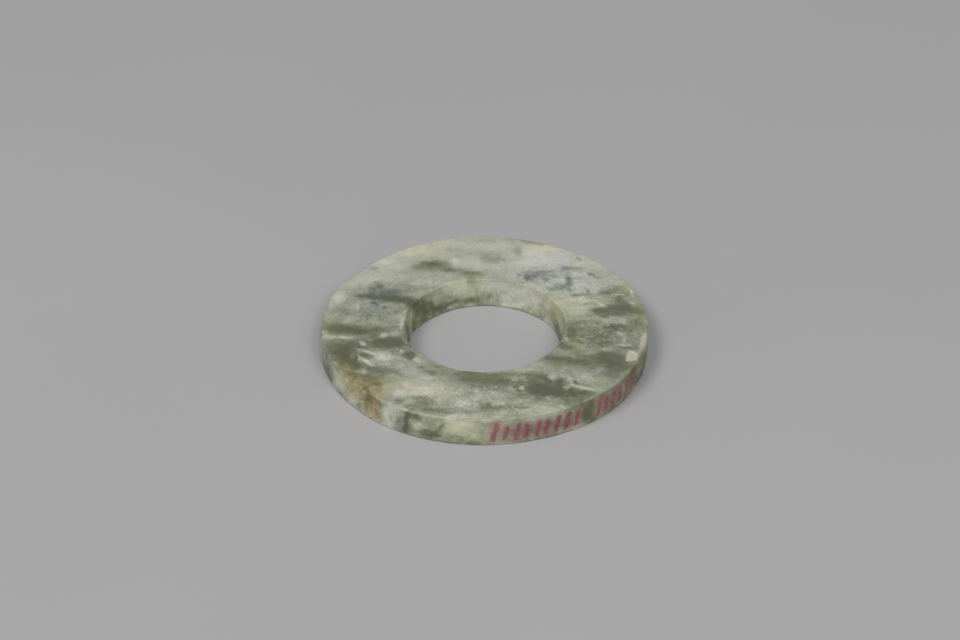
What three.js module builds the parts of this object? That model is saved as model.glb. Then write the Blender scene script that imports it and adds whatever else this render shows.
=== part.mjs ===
// Jade bi disc: one flat ring of nephrite, ground to shape by hand, with a wide hole drilled through it
// from the upper face. Millimetres, +Z up. The disc lies flat, and the origin is on the surface under it,
// below the middle of the disc. Azimuths are in degrees, anticlockwise from +X as seen from above.

import * as THREE from "three";
import { mergeVertices } from "three/addons/utils/BufferGeometryUtils.js";

// Driving sizes. The drill widened the hole towards the upper face, so its wall is a shallow cone.
const OUTER_DIAMETER = 76.4;
const THICKNESS = 7;
const HOLE_TOP_DIAMETER = 37.8;
const HOLE_FOOT_DIAMETER = 35.6;
const RIM_BELLY = 0.12; // how far the middle of the rim stands out past its edges

// Every edge is worn round. Each value is how far the wear reaches from the sharp corner.
const RIM_TOP_WEAR = 0.4;
const RIM_FOOT_WEAR = 0.5;
const HOLE_TOP_WEAR = 0.35;
const HOLE_FOOT_WEAR = 0.6;
const WEAR_DOWN_THE_WALL = 0.7; // wear reaches less far down a wall than across a face

// Where the hand-ground shape leaves the circle. Each swelling or hollow is centred at an azimuth, dies
// away within a half-width to both sides, and is so many millimetres high, or deep where it is negative.
const RIM_OUTLINE = [
  { at: -146, halfWidth: 26, height: -0.2 },
  { at: -38, halfWidth: 36, height: 0.38 },
  { at: -8, halfWidth: 16, height: 0.12 },
  { at: 60, halfWidth: 17, height: -0.4 },
  { at: 100, halfWidth: 24, height: 0.2 },
  { at: 137, halfWidth: 18, height: -0.3 },
  { at: 157, halfWidth: 9, height: 0.2 },
  { at: 170, halfWidth: 9, height: -0.2 },
  { at: 187, halfWidth: 9, height: 0.2 },
];
const HOLE_TOP_OUTLINE = [
  { at: -80, halfWidth: 70, height: 0.38 },
  { at: -62, halfWidth: 9, height: 0.35 },
  { at: 176, halfWidth: 26, height: -0.4 },
];
const HOLE_FOOT_OUTLINE = [
  { at: 30, halfWidth: 20, height: 0.15 },
  { at: 128, halfWidth: 16, height: -0.15 },
  { at: 158, halfWidth: 14, height: 0.25 },
];

// Stretches of the rim's upper edge that are chipped or rubbed away further than the rest.
const RIM_TOP_CHIPS = [
  { at: -115, halfWidth: 16, height: 0.6 },
  { at: -142, halfWidth: 22, height: 0.45 },
  { at: -12, halfWidth: 8, height: 0.7 },
  { at: 187, halfWidth: 6, height: 0.5 },
];

// Facets: sectors round the disc, steps round each worn edge, bands across each face and down each wall.
const SECTORS = 144;
const EDGE_STEPS = 3;
const FACE_BANDS = 3;
const WALL_BANDS = 2;
const WELD_DISTANCE = 1e-4;

const JADE_COLOUR = 0x8f9282;
const JADE_ROUGHNESS = 0.45;

// The height of all the swellings together at one azimuth. Each is a raised cosine.
function heightAt(azimuth, swellings) {
  return swellings.reduce((total, { at, halfWidth, height }) => {
    const turns = (azimuth - at) / 360;
    const away = Math.abs(turns - Math.round(turns)) * 360;
    return away < halfWidth ? total + (height / 2) * (1 + Math.cos((Math.PI * away) / halfWidth)) : total;
  }, 0);
}

// A worn corner: a quadratic curve that leaves one side and joins the other, drawn towards the corner.
function wornCorner(start, corner, end) {
  return new THREE.QuadraticBezierCurve(start, corner, end).getPoints(EDGE_STEPS);
}

// The points strictly between two others, at even steps on the straight line that joins them.
function pointsBetween(start, end, bands) {
  return Array.from({ length: bands - 1 }, (_, i) => start.clone().lerp(end, (i + 1) / bands));
}

// The same, bowed away from the straight line by a half sine of the given height along the radius.
function bowedBetween(start, end, bands, height) {
  return pointsBetween(start, end, bands).map((point, i) => {
    point.x += height * Math.sin((Math.PI * (i + 1)) / bands);
    return point;
  });
}

// The closed section of the ring at one azimuth, radius against height: out along the underside, up the
// rim, in along the upper face and down the wall of the hole.
function section(azimuth) {
  const rim = OUTER_DIAMETER / 2 - RIM_BELLY + heightAt(azimuth, RIM_OUTLINE);
  const holeTop = HOLE_TOP_DIAMETER / 2 + heightAt(azimuth, HOLE_TOP_OUTLINE);
  const holeFoot = HOLE_FOOT_DIAMETER / 2 + heightAt(azimuth, HOLE_FOOT_OUTLINE);
  const chipped = RIM_TOP_WEAR + heightAt(azimuth, RIM_TOP_CHIPS);
  const spot = (radius, height) => new THREE.Vector2(radius, height);

  const rimFoot = wornCorner(
    spot(rim - RIM_FOOT_WEAR, 0),
    spot(rim, 0),
    spot(rim, RIM_FOOT_WEAR * WEAR_DOWN_THE_WALL),
  );
  const rimTop = wornCorner(
    spot(rim, THICKNESS - chipped * WEAR_DOWN_THE_WALL),
    spot(rim, THICKNESS),
    spot(rim - chipped, THICKNESS),
  );
  const holeTopEdge = wornCorner(
    spot(holeTop + HOLE_TOP_WEAR, THICKNESS),
    spot(holeTop, THICKNESS),
    spot(holeTop, THICKNESS - HOLE_TOP_WEAR * WEAR_DOWN_THE_WALL),
  );
  const holeFootEdge = wornCorner(
    spot(holeFoot, HOLE_FOOT_WEAR * WEAR_DOWN_THE_WALL),
    spot(holeFoot, 0),
    spot(holeFoot + HOLE_FOOT_WEAR, 0),
  );

  return [
    ...rimFoot,
    ...bowedBetween(rimFoot.at(-1), rimTop[0], WALL_BANDS, RIM_BELLY),
    ...rimTop,
    ...pointsBetween(rimTop.at(-1), holeTopEdge[0], FACE_BANDS),
    ...holeTopEdge,
    ...pointsBetween(holeTopEdge.at(-1), holeFootEdge[0], WALL_BANDS),
    ...holeFootEdge,
    ...pointsBetween(holeFootEdge.at(-1), rimFoot[0], FACE_BANDS),
    rimFoot[0].clone(),
  ];
}

// The disc: a section turned round the axis, with each sector's points put where its own section has them.
function discGeometry() {
  const pointsPerSection = section(0).length;
  const turned = new THREE.LatheGeometry(section(0), SECTORS);
  const position = turned.getAttribute("position");
  for (let sector = 0; sector <= SECTORS; sector++) {
    const azimuth = (360 * (sector % SECTORS)) / SECTORS;
    const angle = THREE.MathUtils.degToRad(azimuth);
    section(azimuth).forEach((point, step) => {
      const vertex = sector * pointsPerSection + step;
      position.setXYZ(vertex, point.x * Math.cos(angle), point.x * Math.sin(angle), point.y);
    });
  }
  turned.deleteAttribute("normal");
  turned.deleteAttribute("uv");
  const disc = mergeVertices(turned, WELD_DISTANCE);
  disc.computeBoundingBox();
  const middle = disc.boundingBox.getCenter(new THREE.Vector3());
  disc.translate(-middle.x, -middle.y, 0);
  disc.computeVertexNormals();
  return disc;
}

const jade = new THREE.MeshStandardMaterial({
  color: JADE_COLOUR,
  roughness: JADE_ROUGHNESS,
  metalness: 0,
});

const disc = new THREE.Mesh(discGeometry(), jade);
disc.name = "bi_disc";

const group = new THREE.Group();
group.add(disc);

export default group;
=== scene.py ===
"""A jade bi disc lying on a pale studio floor: a flat, hand-ground ring of mottled nephrite with worn
edges, a brown stain, a pale flake and a row of red ink strokes. Lengths are in millimetres, and azimuths
in degrees, anticlockwise from +X as seen from above."""

import math

import bpy
import numpy as np
from mathutils import Euler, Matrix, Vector


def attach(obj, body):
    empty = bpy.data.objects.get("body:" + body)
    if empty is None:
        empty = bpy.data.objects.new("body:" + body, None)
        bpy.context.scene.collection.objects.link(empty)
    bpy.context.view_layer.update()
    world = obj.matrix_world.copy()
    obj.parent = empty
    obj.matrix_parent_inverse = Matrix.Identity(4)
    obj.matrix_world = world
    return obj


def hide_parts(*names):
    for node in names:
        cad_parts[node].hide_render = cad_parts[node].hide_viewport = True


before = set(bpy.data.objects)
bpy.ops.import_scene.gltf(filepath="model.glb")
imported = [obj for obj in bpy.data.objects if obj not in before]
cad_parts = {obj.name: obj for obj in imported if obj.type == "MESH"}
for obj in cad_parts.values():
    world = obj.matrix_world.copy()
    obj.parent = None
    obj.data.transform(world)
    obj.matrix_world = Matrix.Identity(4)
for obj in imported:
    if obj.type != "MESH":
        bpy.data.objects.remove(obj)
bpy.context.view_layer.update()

MM = 0.001

# ---------- the worked shape

# Driving sizes, the same as those of the solid that the disc stands for.
OUTER_RADIUS = 38.2
THICKNESS = 7.0
HOLE_TOP_RADIUS = 18.9
HOLE_FOOT_RADIUS = 17.8
RIM_BELLY = 0.12

# How far the wear reaches across a face from each edge, and how much less it reaches down a wall.
RIM_TOP_WEAR = 0.4
RIM_FOOT_WEAR = 0.5
HOLE_TOP_WEAR = 0.35
HOLE_FOOT_WEAR = 0.6
WEAR_DOWN_THE_WALL = 0.7

# Where the hand-ground shape leaves the circle: azimuth, half-width in degrees, height.
RIM_OUTLINE = [
    (-146, 26, -0.2),
    (-38, 36, 0.38),
    (-8, 16, 0.12),
    (60, 17, -0.4),
    (100, 24, 0.2),
    (137, 18, -0.3),
    (157, 9, 0.2),
    (170, 9, -0.2),
    (187, 9, 0.2),
]
HOLE_TOP_OUTLINE = [(-80, 70, 0.38), (-62, 9, 0.35), (176, 26, -0.4)]
HOLE_FOOT_OUTLINE = [(30, 20, 0.15), (128, 16, -0.15), (158, 14, 0.25)]
# Where the rim's upper edge is chipped or rubbed away further, in the same terms.
RIM_TOP_CHIPS = [(-115, 16, 0.6), (-142, 22, 0.45), (-12, 8, 0.7), (187, 6, 0.5)]

# Small nibbles in every edge: the circle that they are worked out on, their length, and the most that they
# add to each edge's wear.
NIBBLE_CIRCLE_RADIUS = 38
NIBBLE_SIZE = 1.3
RIM_TOP_NIBBLES = 0.45
RIM_FOOT_NIBBLES = 0.4
HOLE_TOP_NIBBLES = 0.35
HOLE_FOOT_NIBBLES = 0.4

# The grid: sectors round the disc, then steps along each stretch of the section.
SECTORS = 720
RIM_FOOT_STEPS = 5
RIM_STEPS = 20
RIM_TOP_STEPS = 8
UPPER_FACE_STEPS = 60
HOLE_TOP_STEPS = 6
HOLE_STEPS = 14
HOLE_FOOT_STEPS = 4
UNDERSIDE_STEPS = 12

RIM_STRETCHES = ["rim_foot", "rim", "rim_top"]
HOLE_STRETCHES = ["hole_top", "hole", "hole_foot"]
WORN_EDGES = ["rim_foot", "rim_top", "hole_top", "hole_foot"]


def smooth_step(value, low, high):
    """0 below low, 1 above high, and 3t^2 - 2t^3 between, where t is the share of the way."""
    t = np.clip((value - low) / (high - low), 0, 1)
    return t * t * (3 - 2 * t)


def degrees_between(azimuth, at):
    """The signed turn from one azimuth to another, from -180 to 180 degrees."""
    return (azimuth - at + 180) % 360 - 180


def height_at(azimuth, swellings):
    """All the swellings together: each is a raised cosine, (h / 2)(1 + cos(pi a / w)), up to its half-width
    w away from its azimuth."""
    total = np.zeros_like(azimuth)
    for at, half_width, height in swellings:
        away = np.minimum(np.abs(degrees_between(azimuth, at)), half_width)
        total += height / 2 * (1 + np.cos(np.pi * away / half_width))
    return total


def cloud(points, size, seed):
    """Smooth noise from -1 to 1: random values on a cubic lattice with cells of the given size, blended
    inside each cell by smooth steps of the three coordinates. The lattice repeats every 32 cells."""
    cells = 32
    lattice = np.random.default_rng(seed).uniform(-1, 1, (cells, cells, cells))
    scaled = points / size
    corner = np.floor(scaled).astype(int)
    part = scaled - corner
    part = part * part * (3 - 2 * part)
    total = np.zeros(points.shape[:-1])
    for step in np.ndindex(2, 2, 2):
        weight = np.prod(np.where(step, part, 1 - part), axis=-1)
        index = (corner + step) % cells
        total += weight * lattice[index[..., 0], index[..., 1], index[..., 2]]
    return total


def layered_cloud(points, size, seed, layers=4, fade=0.55):
    """A sum of clouds, each half the size of the last and fade times as strong."""
    return sum(fade**k * cloud(points, np.asarray(size) / 2**k, seed + k) for k in range(layers))


def nibbles(azimuth, most, seed):
    """Extra wear along an edge, from 0 to the most: a cloud on a circle, of which only the peaks bite."""
    around = np.radians(azimuth)
    x = NIBBLE_CIRCLE_RADIUS * np.cos(around)
    y = NIBBLE_CIRCLE_RADIUS * np.sin(around)
    circle = np.stack([x, y, np.zeros_like(x)], -1)
    return most * smooth_step(cloud(circle, NIBBLE_SIZE, seed), 0.25, 0.9)


def worn_corner(start, corner, end, steps):
    """A quadratic curve from start to end, drawn towards the corner: (1-t)^2 S + 2t(1-t) C + t^2 E."""
    t = np.linspace(0, 1, steps, endpoint=False)[:, None]
    return [(1 - t) ** 2 * s + 2 * t * (1 - t) * c + t**2 * e for s, c, e in zip(start, corner, end)]


def straight(start, end, steps, bow=0.0):
    """Even steps on the line from start to end, pushed out along the radius by bow times a half sine."""
    t = np.linspace(0, 1, steps, endpoint=False)[:, None]
    radius = start[0] + (end[0] - start[0]) * t + bow * np.sin(np.pi * t)
    height = start[1] + (end[1] - start[1]) * t
    return [radius, height]


def ring_section(azimuth):
    """Radius and height of the closed section at every azimuth, and which stretch each of its points is on:
    out round the rim's foot, up the rim, in over the upper face, down the hole and out under the disc."""
    rim = OUTER_RADIUS - RIM_BELLY + height_at(azimuth, RIM_OUTLINE)
    hole_top = HOLE_TOP_RADIUS + height_at(azimuth, HOLE_TOP_OUTLINE)
    hole_foot = HOLE_FOOT_RADIUS + height_at(azimuth, HOLE_FOOT_OUTLINE)
    chipped = RIM_TOP_WEAR + height_at(azimuth, RIM_TOP_CHIPS)
    rim_top_wear = chipped + nibbles(azimuth, RIM_TOP_NIBBLES, seed=11)
    rim_foot_wear = RIM_FOOT_WEAR + nibbles(azimuth, RIM_FOOT_NIBBLES, seed=12)
    hole_top_wear = HOLE_TOP_WEAR + nibbles(azimuth, HOLE_TOP_NIBBLES, seed=13)
    hole_foot_wear = HOLE_FOOT_WEAR + nibbles(azimuth, HOLE_FOOT_NIBBLES, seed=14)
    down = WEAR_DOWN_THE_WALL
    ground = np.zeros_like(rim)
    top = np.full_like(rim, THICKNESS)

    rim_foot_in = (rim - rim_foot_wear, ground)
    rim_foot_up = (rim, rim_foot_wear * down)
    rim_top_down = (rim, top - rim_top_wear * down)
    rim_top_in = (rim - rim_top_wear, top)
    hole_top_out = (hole_top + hole_top_wear, top)
    hole_top_down = (hole_top, top - hole_top_wear * down)
    hole_foot_up = (hole_foot, hole_foot_wear * down)
    hole_foot_out = (hole_foot + hole_foot_wear, ground)

    stretches = {
        "rim_foot": worn_corner(rim_foot_in, (rim, ground), rim_foot_up, RIM_FOOT_STEPS),
        "rim": straight(rim_foot_up, rim_top_down, RIM_STEPS, RIM_BELLY),
        "rim_top": worn_corner(rim_top_down, (rim, top), rim_top_in, RIM_TOP_STEPS),
        "upper_face": straight(rim_top_in, hole_top_out, UPPER_FACE_STEPS),
        "hole_top": worn_corner(hole_top_out, (hole_top, top), hole_top_down, HOLE_TOP_STEPS),
        "hole": straight(hole_top_down, hole_foot_up, HOLE_STEPS),
        "hole_foot": worn_corner(hole_foot_up, (hole_foot, ground), hole_foot_out, HOLE_FOOT_STEPS),
        "underside": straight(hole_foot_out, rim_foot_in, UNDERSIDE_STEPS),
    }
    radius = np.concatenate([r for r, _ in stretches.values()])
    height = np.concatenate([h for _, h in stretches.values()])
    names = np.repeat(list(stretches), [len(r) for r, _ in stretches.values()])
    return radius, height, names


def outward_normals(points):
    """Unit normals of a grid that closes on itself both ways: the cross product of its differences."""
    up_the_section = np.roll(points, -1, 0) - np.roll(points, 1, 0)
    round_the_axis = np.roll(points, -1, 1) - np.roll(points, 1, 1)
    normals = np.cross(round_the_axis, up_the_section)
    return normals / np.linalg.norm(normals, axis=-1, keepdims=True)


# ---------- the stone's pattern

# Soft darker and paler clouds of the upper face: x, y, half-length, half-width and tone, then a turn in
# degrees where it has one. A tone of -1 is the darkest olive and 1 the palest cream.
UPPER_FACE_CLOUDS = [
    # broad pale areas: the whole far half, the far edge of the hole and the front left
    (2, 27, 40, 16, 0.28), (19, 12, 9, 9, 0.3, -50), (-9, 17, 6, 3, 0.3, 20), (-36.8, 6.4, 1.6, 4, 0.4),
    (-11, -28, 8, 5, 0.4), (0, -36.6, 9, 1.8, 0.45, 3), (-6, 31, 26, 8, 0.45),
    (18, 27, 12, 8, 0.35, -35), (-28, 24, 7, 10, 0.35, -40), (-15, 33, 6, 2.5, 0.2, 18),
    # far side, a dark smudge that trails off to the right
    (-10.6, 25.8, 2.9, 1.5, -1.1), (-14.6, 25.3, 2.9, 1.4, -1.1, 10), (-18.6, 23, 3.2, 0.8, -0.25, 14),
    (-11, 23.6, 6, 1, -0.25), (-7.4, 23.3, 3.4, 1.2, -0.75, -6), (-2.6, 21.8, 2.2, 0.8, -0.8, -4),
    (-3.2, 19.4, 1, 1.8, -0.45), (-5.9, 29.4, 0.8, 1.2, -0.4), (-26.4, 24.2, 1.2, 0.9, -0.6),
    (-20.8, 27.6, 2.4, 1.6, -0.15), (1.4, 29.4, 4.2, 2.2, -0.75), (3, 25.4, 4, 1.4, -0.15),
    (-5, 26.6, 1.6, 1.4, -0.15), (2.8, 27.4, 2.8, 1.1, -0.5), (7, 30, 2.4, 2.6, -0.25),
    (8.3, 31.4, 1, 2.6, -0.6), (15.6, 32.4, 2.6, 1.2, 0.25, -28), (12, 35.2, 3, 0.9, -0.6, -18),
    (1.5, 35.6, 3, 1, -0.3),
    # far left, a dark vein with smudges over it that runs into the hole
    (-24.6, 11.8, 5.6, 1.1, -0.95, -6), (-20.4, 10.2, 4.6, 1.4, -0.95, -10),
    (-29, 12.2, 2.6, 0.9, -0.35), (-25, 17.2, 1.2, 1.8, -0.8), (-26.8, 14.6, 1, 1.4, -0.65),
    (-22.6, 14, 2.6, 1.8, -0.55, -10), (-19, 16.6, 2.6, 1.8, -0.15), (-25.9, 9.2, 1.2, 0.7, -0.7, -40),
    (-17.2, 8.6, 1.6, 1.8, -0.9, 20), (-18.2, 6.2, 1, 2.2, -0.3), (-24, 6, 5, 3, -0.2),
    (-30, 6.4, 3, 2.2, 0.2), (-34.4, 6.8, 1.8, 1, -0.25), (-26.8, 4, 1.2, 0.7, -0.35),
    (-29.4, 14.8, 1.4, 1.2, -0.25), (-31.5, 9, 2, 1, -0.2), (-34.5, 12, 1.8, 3, 0.45),
    (-32.2, 2.2, 1.6, 1.4, 0.2), (-19.4, 1, 1, 2.6, 0.3),
    # left, two dark bands with pale streaks between and under them
    (-31.8, -1.9, 5.4, 1.8, -1, -8), (-25.4, -2.3, 3, 1.4, -0.35), (-22, -7.6, 5.6, 2.1, -1, -4),
    (-31, -7.8, 4.2, 1.7, -0.4, -8), (-34, -9.6, 2.4, 2.2, -0.6), (-32.2, -13, 2.2, 3.2, -1),
    (-28.2, -16.2, 2, 1.6, -0.7), (-29.8, -0.6, 3, 1.2, -0.25), (-27.4, -6.8, 2.2, 1.6, 0.3),
    (-22, -4.4, 2, 1, 0.3), (-29.6, -14.6, 0.9, 2.6, -0.5), (-26, -17.2, 2, 0.7, -0.35),
    (-23, -18.8, 4.8, 1.4, -0.5, -4), (-29.6, -18, 3, 2.4, -0.35, -30), (-18, -16.6, 3, 1.2, 0.15),
    # front left, a big pale cloud with grey-green under it
    (-16, -24.4, 6.4, 3, 0.6, -8), (-14, -20.4, 4.8, 1.4, 0.4, -14), (-5.4, -33, 3, 2, 0.4),
    (-20.6, -28.2, 2, 2, 0.35), (-12.2, -19.4, 2.2, 0.7, -0.45, -35), (-8.4, -26.6, 3, 1.6, 0.2),
    (-27.4, -21.2, 5, 1.2, -0.5, -12), (-30.6, -22.8, 1.4, 1.4, -0.35, -40),
    (-24, -23.4, 1.4, 0.7, -0.3), (-25.2, -25.2, 0.7, 1.2, 0.3), (-23.6, -26.6, 0.9, 2, 0.35),
    (-20, -30, 2.2, 1.4, -0.4, -20), (-14, -30.2, 2.6, 1.3, -0.45, -20), (-16.6, -32.6, 2, 1.2, -0.62),
    (-12.4, -33.2, 1.9, 1.6, -0.75, -20), (-9, -34.2, 2.6, 0.9, -0.5), (-8.4, -30.4, 1.4, 1, -0.15),
    (-3, -34.8, 1.6, 0.8, -0.25), (-1.6, -22.4, 4.6, 2.6, -0.75, -8), (-5, -19.6, 5, 0.8, -0.35, 4),
    (4.6, -23.6, 4.2, 1.5, -0.6, -4), (5, -20.6, 4.6, 0.9, -0.35), (3, -25.6, 3, 1, -0.2),
    (2.4, -33, 3.4, 0.9, -0.45), (-0.4, -35.6, 2, 1, -0.2),
    # front right, the largest dark band, with pale streaks round it
    (11, -21.4, 2.8, 1.6, -0.5, -14), (14.2, -22.6, 1.8, 0.8, -0.5, -42), (8, -18.6, 4, 0.9, 0.4, 4),
    (13, -26, 3.4, 1.7, -1.1, -6), (18.4, -27.8, 4.6, 1.9, -1.15, -8), (23, -28.2, 2.2, 1.1, -0.3),
    (19, -31.4, 4.4, 1.5, -0.65, 6), (17, -23.6, 1.2, 1.8, -0.55), (13, -33.8, 4.6, 1.6, 0.5, 6),
    (9, -33.4, 1.6, 0.6, -0.5), (12.4, -30.2, 1.2, 0.7, -0.2), (22.6, -22.8, 3, 1.8, 0.4, -4),
    (29.4, -21, 2.6, 1.6, -0.5), (23, -19.6, 2, 1, -0.25), (18.6, -20.8, 2.6, 1.2, -0.15),
    (18.4, -16.6, 3, 1.2, -0.3),
    # right, a dark band below the pale flake and mottled green above it
    (28.6, -14.6, 4.4, 2.6, -1.15), (30.4, -18, 3.6, 1.8, -0.65), (24, -12.6, 3.4, 1.6, -0.5),
    (21, -15.4, 3.8, 1, -0.55, -28), (15.8, -14.4, 2.2, 1.3, -0.8), (18.6, -9.4, 2.1, 1.1, -0.8, -38),
    (20.4, -3.8, 1.3, 3, -0.65), (26, -5.4, 6.4, 4.8, -0.45), (27.6, -7, 4.4, 2.2, -0.42),
    (31.4, -1.4, 2.4, 1.2, -0.5), (22.4, 0.4, 1.6, 0.8, -0.3), (34.8, 0.8, 1.4, 1, -0.45),
    (34.6, -5.6, 0.9, 1.4, -0.35), (28, 1.8, 5, 0.9, 0.3), (27.6, -10.8, 2.2, 0.7, 0.15),
    # far right, a dark band against the pale edge of the hole
    (31.4, 5.3, 4.8, 2, -0.95, 2), (26.6, 4.6, 2, 1.3, -0.7, 8), (35.8, 4.4, 1.4, 2.4, -0.15),
    (32.4, 9, 1.8, 1.8, -0.5), (31.4, 13.8, 2.4, 2.2, -0.6), (24.6, 12, 2, 1.8, -0.3),
    (30, 11.4, 1.6, 0.8, 0.25), (36, 7.4, 1.2, 1.8, 0.25), (36.6, 0, 1.2, 1.6, -0.4),
    (24.6, 1.6, 2, 1, 0.25), (28.4, 12.6, 2, 1.4, -0.5), (22, 5, 2.6, 5, 0.3),
    (24.5, 9.6, 4.5, 0.9, 0.35, -4),
    # the bluish-grey patch
    (13, 28.8, 6, 2.8, 0.3, -10), (16.6, 22.6, 6.4, 2, -0.35, 4), (10.8, 19.4, 1.4, 2, -0.3),
    (18.4, 15.6, 3.4, 1.8, -0.25, 14), (12.4, 15.8, 3.2, 0.7, 0.3, -38),
    (13, 21.6, 3.2, 1.4, -0.15, -10), (18.6, 15.4, 2.6, 1.4, -0.3, 10), (20.6, 23.9, 3.4, 1, -0.4, -8),
    (22.4, 12, 2.6, 0.9, -0.45), (23, 16, 2, 1.4, 0.15), (22.4, 19.4, 4, 1.2, -0.3, -12),
    (15.4, 20, 4.4, 0.8, -0.25, -14),
]
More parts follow.
